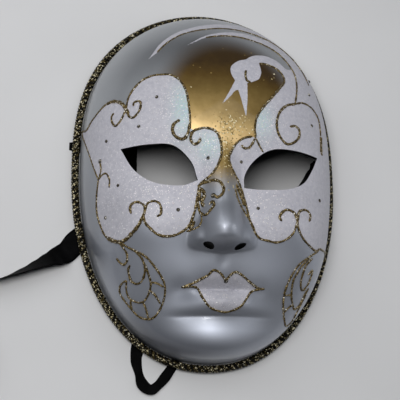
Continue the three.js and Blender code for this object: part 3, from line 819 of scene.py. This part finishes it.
# The painted scrollwork, in distances measured along the outer face from its middle:
# the width of each stroke and the points that it runs through
STROKES = {
    "temple_crest": (1.3, [(-124, 45.5), (-109, 34), (-97.5, 37), (-83, 42), (-74.5, 41.5), (-67.5, 37.5),
        (-63, 31)]),
    "temple_crest_curl": (1.55, [(-63, 31), (-60.5, 25), (-57, 23.5), (-53, 27.5), (-52, 32.5), (-53.5, 35),
        (-57, 34.5), (-57.5, 32)]),
    "temple_mass": (2.2, [(-81, 42.1), (-74.5, 41.5), (-67.5, 37.5), (-63, 31), (-61, 26.5)]),
    "brow_crest": (1.4, [(-63, 31), (-61.5, 39.5), (-57, 46.5), (-51, 51.5), (-44, 53.5), (-37, 53),
        (-32, 52), (-27, 48), (-23.5, 42), (-21.5, 35), (-20.5, 26), (-20, 17), (-20.5, 12)]),
    "brow_crest_start": (1.45, [(-63, 31), (-66, 25.5), (-68.5, 22.5), (-72, 21), (-75, 25), (-75.5, 29),
        (-73.5, 31.5)]),
    "brow_curl": (2, [(-20.2, 15), (-21, 10), (-23, 6.5), (-26, 6), (-29.5, 8), (-31, 11.5), (-30, 15),
        (-26.5, 17.5)]),
    "nose_lobe": (1.55, [(-14, -21.5), (-10, -19), (-6.5, -15.5), (-3.5, -10), (-1.5, -4), (-1.5, 2.5),
        (-3, 8.5), (-6, 11.5), (-11.5, 12.5), (-17, 11)]),
    "nose_lobe_curl": (1.9, [(-16, 11.6), (-18.8, 9.5), (-19.5, 6), (-17.5, 3), (-14.5, 4), (-13.5, 6.5)]),
    "cheek_sweep": (1.65, [(-14, -21.5), (-15, -25), (-16.5, -33), (-18.5, -41.5), (-22, -49.5), (-27, -54),
        (-32, -56.5), (-38, -57.5), (-43, -56.5), (-48, -53), (-51, -49.5), (-52, -44)]),
    "cheek_left_curl": (1.65, [(-51.5, -45), (-50.5, -39.5), (-52, -37), (-56, -35.5), (-60, -37.5),
        (-61, -41), (-60.5, -44)]),
    "cheek_right_curl": (1.65, [(-51.5, -45), (-48.5, -37), (-44, -35), (-40.5, -36.5), (-39.5, -40),
        (-40, -43.5), (-42.5, -45.5)]),
    "outer_cheek": (1.4, [(-88.5, -16), (-91.5, -30.5), (-92, -43), (-89, -54), (-85, -61.5),
        (-78.5, -64.5), (-71.5, -65), (-66, -62.5), (-60.5, -57.5), (-56, -52.5), (-52, -45)]),
    "cheek_mass": (2.4, [(-83, -62.8), (-78.5, -64.5), (-71.5, -65), (-66, -62.5), (-60.5, -57.5)]),
    "cheek_mass_end": (2.1, [(-60.5, -57.5), (-56, -52.5), (-52.5, -46.5)]),
    "far_side_low": (1.35, [(77.5, -67.5), (84, -69.5), (91, -71.5), (99, -76), (107, -84), (112.5, -95)]),
    "temple_return": (1.1, [(-124, 45.5), (-117, 33.5), (-104, 13), (-95.5, -3), (-88.5, -16)]),
    "temple_leaf": (1.2, [(-88.5, -16), (-85.5, -9), (-86.5, -2.5)]),
    "temple_hook": (1.2, [(-88.5, -16), (-84.5, -13), (-80, -12.5), (-77, -17.5), (-77.5, -23.5)]),
    "nose_curl_top": (1.9, [(-15.5, -24), (-13, -22), (-10.5, -21.5), (-6.5, -21), (-3, -23), (-1.5, -27.5),
        (-3, -31), (-5.5, -32.5), (-7, -30.5)]),
    "nose_mass": (2.6, [(-15, -24.5), (-12.5, -27), (-12, -30), (-13.5, -34), (-12.5, -37)]),
    "nose_mass_side": (2.6, [(-15, -25), (-14.8, -29), (-15.2, -33)]),
    "nose_curl_low": (1.8, [(-16, -32.5), (-15.5, -37.5), (-14.5, -41), (-12, -43), (-9.5, -40.5),
        (-7.5, -37.5), (-8, -35), (-10, -36.5)]),
    "nose_leaf_low": (2.4, [(-18.5, -46), (-19.5, -49), (-21.5, -51.5)]),
    "nose_loop_low": (1.2, [(-14, -42), (-14.5, -47), (-16.5, -50.5), (-20, -52), (-23.5, -53)]),
    "far_nose_mass": (2.75, [(7, -23), (9, -27), (11, -31), (12.5, -35.5)]),
    "far_nose_line": (1.3, [(6, -26), (7.5, -32), (11, -38), (14.5, -42.5), (18, -49), (19, -52)]),
    "far_lobe": (1.45, [(18.3, 8.6), (13.3, 7.4), (8.5, 4), (5, -1.5), (3, -7.5), (5.5, -14.5),
        (9.5, -21.5), (13, -32.5), (15, -41.5), (18, -50.5), (22.5, -56), (28, -58), (34.5, -59.5),
        (41, -58), (46, -54), (48.5, -46.5)]),
    "far_lobe_curl": (1.65, [(20, 7.5), (18.5, 4.5), (16.5, 2), (13.5, 1.5), (11.5, 3)]),
    "far_cheek_down": (1.4, [(77.5, -67.5), (71, -68.5), (62.5, -64), (54.5, -58), (49.5, -51),
        (48.5, -44.5)]),
    "far_left_curl": (1.7, [(48.5, -46.5), (46.5, -41.5), (44, -39.5), (40, -38.5), (36.5, -40.5),
        (35, -43.5), (36.5, -46)]),
    "far_right_curl": (1.7, [(48.5, -46.5), (50, -40), (55.5, -38), (60, -40), (61, -43.5), (59.5, -46.5)]),
    "neck_line": (1.4, [(28.7, 66), (33.3, 66.6), (40.3, 65.7), (45.7, 61.5), (46.4, 54.5), (40.5, 46),
        (33.3, 37), (26, 28), (21.6, 21), (20, 14), (20.5, 8)]),
    "eye_line": (1.1, [(20.5, 8), (23, 4), (26, 0)]),
    "head_curl": (1.45, [(18, 57), (17, 52.5), (17.5, 48), (20, 47)]),
    "far_stroke": (1.2, [(-6.5, 89.5), (5, 93), (16.5, 94.5), (28.5, 93.5), (40.5, 91), (49.5, 86.5),
        (55.7, 78.5), (59, 70), (59.3, 62.5), (57.8, 54), (55.4, 45.6), (52.5, 37.5)]),
    "far_spiral": (1.7, [(52.5, 37.5), (45.5, 34.5), (39.5, 29), (36, 22.5), (35, 16), (37, 10.5),
        (42.5, 6.5), (48.5, 8.5), (53, 13), (53.5, 18), (50, 20), (45.5, 18.5)]),
    "far_arc": (1.3, [(52.5, 37.5), (59.5, 41), (66.5, 42), (74, 40.6), (79.7, 35.4), (80.4, 27),
        (79.8, 19), (79, 9.4), (81, 7)]),
    "far_arc_end": (2.3, [(80.2, 21), (79.8, 19), (79, 9.4), (80, 8.2)]),
    "top_stroke": (1.05, [(-41.5, 76.5), (-34.5, 86), (-25, 94.5), (-15, 99.5), (-5.5, 102.5), (6.5, 106),
        (19, 107.5), (32, 107.5), (46, 106), (59, 102), (69, 95), (75, 82.5), (77, 67)]),
    "leaf_outer": (1.4, [(-72.5, -65), (-65, -68), (-58.5, -70), (-51, -72.5), (-44.5, -78.5),
        (-39.5, -85.5), (-37.5, -92), (-38.5, -101.5), (-43, -113.5), (-48, -122), (-54, -127), (-62, -128),
        (-68, -123), (-74, -116), (-77.5, -111), (-77, -104), (-73, -98), (-68.5, -94.5)]),
    "leaf_inner": (1.3, [(-68.5, -94.5), (-70, -102.5), (-69, -109.5), (-65.5, -111.5), (-60.5, -111.5),
        (-55.5, -109), (-52, -104), (-49, -97), (-48, -90.5), (-49.5, -84.5), (-51.5, -79), (-54, -74.5),
        (-58.5, -70)]),
    "leaf_curl": (1.45, [(-58.5, -70), (-53.5, -75), (-52, -83), (-55, -91), (-59.5, -94.5), (-64, -93.5),
        (-65.5, -89), (-66, -85), (-64, -81)]),
    "leaf_hook": (1.45, [(-72, -65.5), (-68.5, -69.5), (-66, -73), (-66.5, -78.5), (-70, -82),
        (-73.5, -80.5), (-76, -78)]),
    "leaf_bar_top": (1.3, [(-48, -90.5), (-43.5, -90), (-38.5, -92)]),
    "leaf_bar_middle": (1.3, [(-49, -97), (-45, -100), (-41.5, -106.5)]),
    "leaf_bar_low": (1.3, [(-55.5, -109), (-54, -115), (-53, -126.5)]),
    "leaf_bar_side": (1.3, [(-67, -111.5), (-68, -116.5), (-67.5, -123)]),
    "far_leaf_outer": (1.3, [(76, -69), (65.5, -72), (55.5, -76.5), (50, -85), (47.5, -96), (49, -108.5),
        (54, -124), (61.5, -138.5), (68.5, -136), (69.5, -126), (72, -113.5), (74.5, -100.5)]),
    "far_leaf_inner": (1.3, [(65.5, -72.5), (58, -78.5), (55, -83.5), (53, -89), (54.5, -100), (59, -110.5),
        (64.5, -118.5), (69.5, -114), (72, -102)]),
    "far_leaf_curl": (1.45, [(68.5, -74), (62.5, -79), (61, -88.5), (62.5, -95), (66, -100), (71, -97),
        (73, -88.5), (72.5, -84.5), (68, -87)]),
    "far_leaf_bar_top": (1.3, [(47.5, -99), (51, -100), (55, -100.5)]),
    "far_leaf_bar_low": (1.3, [(51.5, -117), (54, -114), (58.5, -111)]),
    "lip_top_right": (1.55, [(-26, -90), (-20, -87.5), (-13, -83), (-9, -80.5), (-6.5, -77.5), (-4.5, -77),
        (-1, -79), (3, -84)]),
    "lip_top_left": (1.55, [(3, -84), (5.5, -80), (9, -78), (13.5, -80.5), (20.5, -86.5), (26, -90),
        (30.5, -91)]),
    "lip_low": (1.45, [(-26, -90), (-19.5, -89), (-15, -90), (-12.5, -97.5), (-8, -106), (-0.5, -109.5),
        (5.5, -109.5), (13, -105.5), (16.5, -100.5), (20.5, -93), (24.5, -91), (30.5, -91)]),
}

# Drops: place and radius
DOTS = [
    (-41, 35.5, 1.15), (-53.3, 16.2, 1.15), (-80, 11.7, 1.1), (-69.5, -22.5, 1.1), (-83, -46.5, 1.15),
    (-28.5, -39.8, 1.2), (-9, -6, 1.2), (11.5, -7, 1.1), (21, -37, 1.1), (68, 25.8, 1.1), (71.8, 54, 1.1),
    (86.5, 80.5, 1.1), (74, -29, 1.2), (-86.5, -2, 1.5), (-7.5, -31, 1.7), (3, -84, 1.4),
]

# Painted light and shade on the silver, lighter on the cheeks and chin and darker under the nose and lips, on
# the jaw and sides: how much lighter or darker, place, reach across and along
PAINTED_LIGHT_AND_SHADE = [
    (0.3, -33, -69, 22, 13), (0.36, 32, -75, 20, 17), (0.75, -3, -132, 24, 14),
    (-1.0, -44, -170, 46, 26), (-0.2, -3, -71, 16, 7), (-0.14, -104, -10, 18, 40),
    (-0.2, -100, -80, 10, 16), (-0.16, -51, -63, 12, 8), (-0.13, 37, -110, 18, 20),
    (-0.5, -17, -45, 5, 8), (-0.35, -14, -51, 6, 7), (-0.32, -22, -98, 10, 7), (-0.15, 24, -97, 8, 6),
    (-0.45, -66, -145, 20, 26), (-0.32, -103, -60, 15, 42), (-0.5, -3, -112, 24, 5),
    (-0.75, -1, -63, 17, 4.5), (-0.45, -19, -59, 6, 9), (-0.3, -2, -36, 11, 12), (-0.3, 12, -50, 6, 10),
    (-0.25, -48, 66, 26, 22), (-0.6, -12, 80, 30, 14),
]

# Painted shade on the white paint, darker on the lips and cheeks, with the same columns
WHITE_PAINTED_SHADE = [
    (-0.3, -2, -85, 26, 7.5), (-0.2, 1, -99, 15, 8), (-0.14, -72, -42, 14, 14), (-0.12, 30, -35, 22, 12),
]

# Where the white paint's painted glints and its shimmer are strongest, where loose glitter lies, where the
# gold is
# darker, and where the lacquer is dull: amount, place, reach across and along
PAINTED_GLINT_PLACES = [
    (1, -34, -33, 26, 20), (1, 28, -36, 20, 20), (1, -26, 22, 14, 24), (1, -8, 2, 8, 12),
    (1, 28, 24, 14, 26), (1, 2, -100, 14, 8),
]
LEAST_PAINTED_GLINTS = 0.3
SHIMMERING_PLACES = [(0.45, -24, 25, 7, 18), (0.4, -8, 2, 8, 9), (0.35, 25, 20, 7, 12)]
SPRINKLED_PLACES = [(0.5, 6, 14, 9, 6.5), (0.42, 1, -1, 4, 13), (0.05, 36, 57, 9, 9)]
SPRINKLE_ON_GOLD = 0.0015
SPRINKLE_OFF_WHITE = 0.5
DARKER_GOLD = [(0.2, 37, 55, 10, 12)]
DULL_PLACES = [(1, -16, -51, 6, 9), (1, 13.8, -53, 6, 7), (1, -22, -97, 13, 7), (1, -43, -167, 30, 14)]

# The airbrushed gold: an oval that fades out, and a band down the bridge of the nose. A fade has
# the place where it starts and its length, which is negative downwards.
GOLD_MIDDLE = (8, 36)
GOLD_REACH = (45, 49)
GOLD_FADE = (0.72, 0.5)
BRIDGE_X = -0.5
BRIDGE_REACH = 12
BRIDGE_LOW_FADE = (-30, 20)
BRIDGE_TOP_FADE = (16, -6)

# How it darkens: upwards away from a painted highlight, as a painted dark reflection, towards the far side
# low down, and on the bridge
GOLD_PAINTED_HIGHLIGHT_Y = 14
GOLD_DARKENS_OVER = 50
SIDE_DARKENING = 0.008
SIDE_DARKENING_X = -18
SIDE_DARKENING_FADE = (18, 22)
BRIDGE_DARKNESS = 0.4
BRIDGE_DARKNESS_FADE = (6, -14)

# Edges of the white paint that have no raised line
HEAD_EDGES = [
    [
        (58.5, 72), (51.7, 69.2), (45.8, 74), (37.6, 76.3), (30, 75), (24, 72), (19, 67.5),
        (14.4, 65.6), (9.7, 61.4), (7.5, 57.3), (7.6, 52.2), (9.5, 47),
    ],
    [(9.5, 47), (4.8, 37.5), (-0.6, 27.8)],
    [(-0.6, 27.8), (5.2, 34.2), (8.4, 38.4), (10.9, 39.9)],
    [(10.9, 39.9), (12.4, 32.3), (14.6, 20.5)],
    [(14.6, 20.5), (16.3, 32.7), (17.5, 46)],
    [(17.5, 46), (22, 48), (26.7, 51.6), (28.9, 58.6), (28.7, 66)],
]
FAR_TOP_CORNER = (71, 98)
FAR_TOP_EDGE = [FAR_TOP_CORNER, (57, 104), (44, 104.5), (38, 96), (49.5, 86.5), (55.7, 78.5), (58.5, 72)]
TOP_STROKE_EDGE = [
    (-50, 67), (-45.5, 74.5), (-39.5, 86.5), (-30.5, 97), (-21, 103.5), (-10, 109), (6, 115.5),
    (24, 121), (42, 124), (60, 125), (87, 124),
]
TOP_STROKE_FREE_END = 30
NEXT_STROKE_EDGE = [(-21.5, 79.5), (-15.5, 84.5), (-6.5, 92), (7.5, 99), (19.5, 102), (31, 103), (43, 102.5)]
NEXT_STROKE_BACK = [(40.5, 91), (28.5, 93.5), (16.5, 94.5), (5, 93), (-6.5, 89.5), (-15.5, 83), (-21.5, 79.5)]

# The far white field's outer edge, past the rim
PAST_FAR_RIM = [(118, -92.2), (150, -60), (150, 75), (94.7, 135.2)]


def white_fields():
    """Closed outlines of the white paint."""
    line = {name: curve_through(points) for name, (_, points) in STROKES.items()}
    left = [line["temple_crest"], line["brow_crest"], line["nose_lobe"][::-1], line["cheek_sweep"],
            line["outer_cheek"][::-1], line["temple_return"][::-1]]
    right = [line["far_lobe"], line["far_cheek_down"][::-1], line["far_side_low"], PAST_FAR_RIM,
             curve_through(FAR_TOP_EDGE)]
    right += [curve_through(edge) for edge in HEAD_EDGES]
    right.append(line["neck_line"])
    free_end = int(TOP_STROKE_FREE_END / CURVE_STEP)
    top = [curve_through(TOP_STROKE_EDGE), np.array([FAR_TOP_CORNER]), line["top_stroke"][:-free_end][::-1]]
    following = [curve_through(NEXT_STROKE_EDGE), curve_through(NEXT_STROKE_BACK)]
    lips = [line["lip_top_right"], line["lip_top_left"], line["lip_low"][::-1]]
    return [np.vstack(field) for field in (left, right, top, following, lips)]


def signed_distance(points, outline, furthest=3.0):
    """Distance of each point to a closed outline, positive inside, held at the furthest that matters."""
    close = KDTree(len(outline))
    for index, place in enumerate(outline):
        close.insert((*place, 0), index)
    close.balance()
    distance = np.array([min(close.find((*place, 0))[2], furthest) for place in points])
    start, end = outline, np.roll(outline, -1, axis=0)
    rise = end[:, 1] - start[:, 1]
    lean = (end[:, 0] - start[:, 0]) / np.where(np.abs(rise) > 1e-9, rise, 1e-9)
    inside = np.empty(len(points), bool)
    for first in range(0, len(points), POINTS_AT_ONCE):
        batch = slice(first, first + POINTS_AT_ONCE)
        x, y = points[batch].T[:, :, None]
        spans = (start[:, 1] > y) != (end[:, 1] > y)
        crossing = start[:, 0] + (y - start[:, 1]) * lean
        inside[batch] = (spans & (x < crossing)).sum(axis=1) % 2 == 1
    return np.where(inside, distance, -distance)


def patches(flat, table):
    """Soft round patches, added up."""
    total = np.zeros(len(flat))
    for amount, x, y, across, along in table:
        away = ((flat[:, 0] - x) / across) ** 2 + ((flat[:, 1] - y) / along) ** 2
        total += amount * np.exp(-away)
    return total


def fade(value, start, length):
    """Ease from 0 at the start to 1 after the length."""
    return smooth((value - start) / length)


def gold_layer(x, y):
    """Where the gold is sprayed."""
    spread = np.hypot((x - GOLD_MIDDLE[0]) / GOLD_REACH[0], (y - GOLD_MIDDLE[1]) / GOLD_REACH[1])
    bridge = np.exp(-(((x - BRIDGE_X) / BRIDGE_REACH) ** 4))
    bridge = bridge * fade(y, *BRIDGE_LOW_FADE) * fade(y, *BRIDGE_TOP_FADE)
    return np.maximum(1 - fade(spread, *GOLD_FADE), bridge)


def gold_depth_layer(flat, x, y):
    """How dark the gold is: lightest at a painted highlight and darker upwards as a painted dark reflection,
    and darker on the far side low down, on the bridge and in a patch.
    """
    side = SIDE_DARKENING * (x - SIDE_DARKENING_X) * (1 - fade(y, *SIDE_DARKENING_FADE))
    # A painted highlight at its brightest height, and a painted dark reflection above it
    depth = (y - GOLD_PAINTED_HIGHLIGHT_Y) / GOLD_DARKENS_OVER + side
    depth = np.maximum(depth, BRIDGE_DARKNESS * fade(y, *BRIDGE_DARKNESS_FADE))
    return np.clip(depth + patches(flat, DARKER_GOLD), 0, 1)


def paint_layers(flat):
    """The amount of each paint at points of the outer face."""
    x, y = flat.T
    white = np.max([signed_distance(flat, field) for field in white_fields()], axis=0)
    gold = gold_layer(x, y)
    sprinkle = patches(flat, SPRINKLED_PLACES) + SPRINKLE_ON_GOLD * gold
    return {
        "white": white,
        "gold": gold,
        "gold_depth": gold_depth_layer(flat, x, y),
        "sprinkle": sprinkle * smooth(SPRINKLE_OFF_WHITE - white),
        "shimmer": patches(flat, SHIMMERING_PLACES),
        # Painted light and shade on the silver, and painted shade on the white
        "silver_painted_light_and_shade": np.exp(patches(flat, PAINTED_LIGHT_AND_SHADE)),
        "white_painted_shade": np.exp(patches(flat, WHITE_PAINTED_SHADE)),
        "gloss": 1 - patches(flat, DULL_PLACES),
        "painted_glints": LEAST_PAINTED_GLINTS + patches(flat, PAINTED_GLINT_PLACES),
    }


# The shell
def ring_stack(count, inset):
    """Rings of points from near the middle out to the rim, closer together at the mouth."""
    even = 2 * math.pi * np.arange(SHELL_SIDES) / SHELL_SIDES
    angle = even - CROWD_TO_MOUTH * np.cos(even)
    shares = np.sin(math.pi / 2 * np.arange(1, count + 1) / count)
    return [shell_points(angle, np.full(SHELL_SIDES, share), inset) for share in shares]


def shell_blank():
    """The closed shell before its openings are cut."""
    rings = ring_stack(OUTER_RINGS, 0) + ring_stack(INNER_RINGS, WALL)[::-1]
    centres = [shell_points(np.zeros(1), np.zeros(1), inset) for inset in (0, WALL)]
    points = np.vstack(rings + centres)
    top, under = len(points) - 2, len(points) - 1
    last = (len(rings) - 1) * SHELL_SIDES
    faces = []
    for i in range(SHELL_SIDES):
        turn = (i + 1) % SHELL_SIDES
        for here in range(0, last, SHELL_SIDES):
            there = here + SHELL_SIDES
            faces.append((here + i, there + i, there + turn, here + turn))
        faces.append((top, i, turn))
        faces.append((under, last + turn, last + i))
    return points, faces


def cutter(outline):
    """A tall prism with a given outline."""
    count = len(outline)
    low = [(x, y, CUT_FROM_Z) for x, y in outline]
    high = [(x, y, CUT_TO_Z) for x, y in outline]
    return new_piece("cutter", low + high, tube_faces(2, count))


def opening_outlines():
    """Outlines of the eyes and of the nostril slits."""
    outlines = []
    for halves in (RIGHT_EYE, LEFT_EYE):
        outlines.append(np.vstack([curve_through(half, EYE_STEP)[:-1] for half in halves]))
    angle = 2 * math.pi * np.arange(NOSTRIL_SIDES) / NOSTRIL_SIDES
    for side in (-1, 1):
        u, v = NOSTRIL_HALF_LENGTH * np.cos(angle), NOSTRIL_HALF_WIDTH * np.sin(angle)
        turn = side * NOSTRIL_TURN
        x = side * NOSTRIL_X + u * math.cos(turn) - v * math.sin(turn)
        y = NOSTRIL_Y + u * math.sin(turn) + v * math.cos(turn)
        outlines.append(np.stack([x, y], axis=-1))
    return outlines


def cut_openings(piece):
    """Cut the eyes and the nostrils through the shell."""
    for outline in opening_outlines():
        tool = cutter(outline)
        cut = piece.modifiers.new("cut", "BOOLEAN")
        cut.operation = "DIFFERENCE"
        cut.solver = "MANIFOLD"
        cut.object = tool
        bpy.context.view_layer.objects.active = piece
        bpy.ops.object.modifier_apply(modifier=cut.name)
        bpy.data.objects.remove(tool)


def read_vectors(items, name):
    """One vector for each item of a mesh, such as the place of each point."""
    values = np.empty(3 * len(items))
    items.foreach_get(name, values)
    return values.reshape(-1, 3)


def flat_places(points):
    """Distances along the outer face of points given in millimetres."""
    x, y = points[:, 0], points[:, 1] - WIDEST_Y
    angle = np.arctan2(y, x)
    reach = rim_radius(angle)
    turned = reach * np.arcsin(np.clip(np.hypot(x, y) / reach, 0, 1))
    return np.stack([turned * np.cos(angle), turned * np.sin(angle)], axis=-1)


def is_painted(mesh):
    """Which faces of the shell belong to its painted side."""
    middles = read_vectors(mesh.polygons, "center") / MM - (0, WIDEST_Y, 0)
    normals = read_vectors(mesh.polygons, "normal")
    away = np.hypot(middles[:, 0], middles[:, 1])
    outward = (normals[:, :2] * middles[:, :2]).sum(axis=1) / np.maximum(away, 1)
    near_rim = away > PAINT_NEAR_RIM * rim_radius(np.arctan2(middles[:, 1], middles[:, 0]))
    return (normals[:, 2] > PAINT_FACING_UP) | (near_rim & (outward > PAINT_FACING_OUT))


def mask_shell(painted, inside):
    """The moulded shell with its paint."""
    piece = new_piece("painted_shell", *shell_blank(), painted, inside)
    cut_openings(piece)
    mesh = piece.data
    mesh.polygons.foreach_set("material_index", np.where(is_painted(mesh), 0, 1).astype(np.int32))
    mesh.set_sharp_from_angle(angle=math.radians(SHARP_EDGE_DEGREES))
    flat = flat_places(read_vectors(mesh.vertices, "co") / MM)
    for name, values in paint_layers(flat).items():
        layer = mesh.attributes.new(name, "FLOAT", "POINT")
        layer.data.foreach_set("value", values.astype(np.float32))
    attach(piece, "root")
    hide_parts("mask_shell")


# The raised lines
def line_mesh(run, width, seed):
    """A lumpy half-round bead of glitter glue along a run on the face."""
    middle = on_face(run)
    up = face_normals(run)
    side = np.cross(up, np.gradient(middle, axis=0))
    side /= np.linalg.norm(side, axis=1)[:, None]
    count = len(run)
    from_end = np.minimum(np.arange(count), count - 1 - np.arange(count)) + LINE_BLUNT_END
    taper = np.minimum(from_end / LINE_TAPER, 1) ** 0.5
    angle = np.linspace(-0.25 * math.pi, 1.25 * math.pi, LINE_SIDES)
    points = []
    for i in range(count):
        lump = 1 + LUMP_AMOUNT * noise.noise(Vector(middle[i] * LUMPS_A_MM + LUMP_SEED_STEP * seed))
        size = width * taper[i] * lump
        for a in angle:
            sink = LINE_SINK * (a < 0 or a > math.pi)
            rise = size * LINE_RISE * math.sin(a) - sink
            points.append(middle[i] + side[i] * size / 2 * math.cos(a) + up[i] * rise)
    return points, tube_faces(count, LINE_SIDES)


def dot_mesh(place, radius):
    """A small round drop of glitter glue."""
    flat = np.array([place], float)
    middle, up = on_face(flat)[0], face_normals(flat)[0]
    across = np.cross(up, (0, 1, 0))
    across /= np.linalg.norm(across)
    along = np.cross(up, across)
    points = []
    for ring in range(DOT_RINGS):
        lean = math.pi / 2 * ring / (DOT_RINGS - 0.5)
        reach = radius * math.cos(lean)
        rise = DOT_HEIGHT * math.sin(lean) - LINE_SINK * (ring == 0)
        for side in range(DOT_SIDES):
            turn = 2 * math.pi * side / DOT_SIDES
            outward = across * math.cos(turn) + along * math.sin(turn)
            points.append(middle + outward * reach + up * rise)
    return points, tube_faces(DOT_RINGS, DOT_SIDES)


def raised_lines(gold, dark):
    """The glitter scrollwork and drops."""
    lines = [line_mesh(curve_through(points), width, seed)
             for seed, (width, points) in enumerate(STROKES.values())]
    dots = [dot_mesh((x, y), radius) for x, y, radius in DOTS]
    piece = two_tone_piece("glitter_lines", lines, dots, gold, dark)
    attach(piece, "root")


# The plaited cord
def cord_middle(stations):
    """Middle of the cord, its outward direction and the phase of the plait, round the rim."""
    angle = 2 * math.pi * np.arange(stations) / stations
    reach = rim_radius(angle)
    rim = np.stack([reach * np.cos(angle), WIDEST_Y + reach * np.sin(angle)], axis=-1)
    ahead = np.roll(rim, -1, axis=0) - np.roll(rim, 1, axis=0)
    out = np.stack([ahead[:, 1], -ahead[:, 0]], axis=-1)
    out /= np.linalg.norm(out, axis=1)[:, None]
    travelled = np.concatenate([[0], np.cumsum(np.linalg.norm(np.diff(rim, axis=0), axis=1))])
    whole = travelled[-1] + np.linalg.norm(rim[0] - rim[-1])
    middle = np.column_stack([rim + out * BRAID_OFFSET, np.full(stations, BRAID_MIDDLE_Z)])
    outward = np.column_stack([out, np.zeros(stations)])
    return middle, outward, 2 * math.pi * BRAID_TURNS * travelled / whole


def braid_strand(strand, middle, outward, phase):
    """A strand that winds round the cord one way and passes over and under the others."""
    upward = np.array([0, 0, 1.0])
    way = 1 if strand % 2 == 0 else -1
    turn = way * phase + 2 * math.pi * (strand // 2) / (BRAID_STRANDS / 2)
    core = BRAID_CORE_RADIUS + way * BRAID_WEAVE * np.cos(4 * phase)
    radial = outward * np.cos(turn)[:, None] + upward * np.sin(turn)[:, None]
    line = middle + radial * core[:, None]
    forward = np.roll(line, -1, axis=0) - np.roll(line, 1, axis=0)
    forward /= np.linalg.norm(forward, axis=1)[:, None]
    wide = np.cross(forward, radial) * BRAID_STRAND_RADIUS * STRAND_WIDENING
    flat = radial * BRAID_STRAND_RADIUS * STRAND_FLATTENING
    points = []
    for i in range(len(line)):
        for corner in range(STRAND_SIDES):
            a = 2 * math.pi * corner / STRAND_SIDES
            points.append(line[i] + wide[i] * math.cos(a) + flat[i] * math.sin(a))
    return points, tube_faces(len(line), STRAND_SIDES, closed=True)


def edge_braid(gold, black):
    """Eight strands, four each way, round the rim."""
    cord = cord_middle(BRAID_TURNS * BRAID_STATIONS_A_TURN)
    strands = [braid_strand(strand, *cord) for strand in range(BRAID_STRANDS)]
    gold_strands = [part for strand, part in enumerate(strands) if strand not in BLACK_STRANDS]
    black_strands = [strands[strand] for strand in BLACK_STRANDS]
    piece = two_tone_piece("plaited_edge", gold_strands, black_strands, gold, black)
    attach(piece, "root")
    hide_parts("edge_braid")


# The table and the lights
TABLE_HALF_SIZE = 3000
DAYLIGHT = (0.97, 0.98, 1.0)
ROOM_COLOUR = (0.93, 0.95, 1.0, 1)
ROOM_STRENGTH = 0.015
LIGHT_TARGET = (0, 0, 30)

# Square lights: place, size, power and colour
LIGHTS = {
    "lamp": ((-165, -60, 715), 230, 2.2, (1.0, 0.99, 0.98)),
    "window": ((-420, 330, 640), 600, 1.7, DAYLIGHT),
    "far window": ((344, 344, 1235), 900, 3.3, DAYLIGHT),
    "side fill": ((1222, 0, 475), 600, 2.5, DAYLIGHT),
}


def table_top():
    """The plain surface that the mask lies on."""
    corners = [(-1, -1), (1, -1), (1, 1), (-1, 1)]
    points = [(x * TABLE_HALF_SIZE, y * TABLE_HALF_SIZE, 0) for x, y in corners]
    new_piece("table_top", points, [(0, 1, 2, 3)], new_material("table", table_surface))


def area_light(name, place, size, power, colour):
    """A soft light that faces the mask."""
    data = bpy.data.lights.new(name, "AREA")
    data.size = size * MM
    data.energy = power
    data.color = colour
    light = bpy.data.objects.new(name, data)
    light.location = Vector(place) * MM
    towards = Vector(LIGHT_TARGET) - Vector(place)
    light.rotation_euler = towards.to_track_quat("-Z", "Y").to_euler()
    bpy.context.collection.objects.link(light)


def lighting():
    """A dim room with a few large soft lights."""
    world = bpy.data.worlds.new("studio")
    world.use_nodes = True
    background = world.node_tree.nodes["Background"]
    background.inputs["Color"].default_value = ROOM_COLOUR
    background.inputs["Strength"].default_value = ROOM_STRENGTH
    bpy.context.scene.world = world
    bpy.context.scene.view_settings.view_transform = "Standard"
    for name, settings in LIGHTS.items():
        area_light(name, *settings)


place_camera()
ribbon = new_material("black_satin", satin)
ribbon_tie("right_tie", RIGHT_ROUTE, RIGHT_COIL, ribbon)
ribbon_tie("left_tie", LEFT_ROUTE, LEFT_COIL, ribbon)
mask_shell(new_material("painted_shell", shell_paint), new_material("black_inside", inside_paint))
raised_lines(
    new_material("gold_glitter", glitter, GLITTER_SHADES, GLUE),
    new_material("dark_glitter", glitter, DARK_GLITTER_SHADES, GLUE),
)
edge_braid(
    new_material("gold_thread", glitter, GOLD_THREAD, TINSEL),
    new_material("black_thread", glitter, BLACK_THREAD, TINSEL),
)
table_top()
lighting()

bpy.context.view_layer.update()
